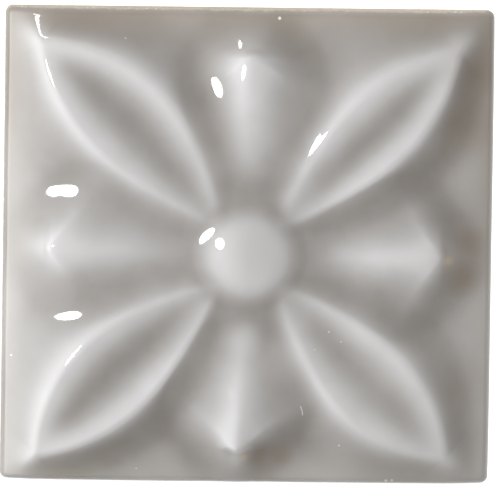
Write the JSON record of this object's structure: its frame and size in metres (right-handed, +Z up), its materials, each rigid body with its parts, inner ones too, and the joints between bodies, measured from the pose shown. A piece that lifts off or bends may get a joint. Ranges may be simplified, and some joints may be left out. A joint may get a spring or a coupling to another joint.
{
  "type": "relief tile",
  "caption": "Square glazed wall tile pressed with a flower in relief: a round boss, hollow leaf petals on the diagonals, pointed petals between them, and a ribbed back.",
  "frame": {"origin": "centre of the back, on the plane of its ribs, which beds on the wall", "axes": "+Z up the wall, +X to the right seen from the front, +Y out of the back into the wall, so the glazed face looks towards -Y"},
  "size_m": [0.075, 0.0143, 0.073],
  "materials": {
    "bisque": "matt, fine-grained, unglazed",
    "glaze": "high gloss, pooled darker in the hollows"
  },
  "bodies": {
    "root": {"fired_body": "bisque", "glaze_coat": "glaze"}
  },
  "joints": []
}
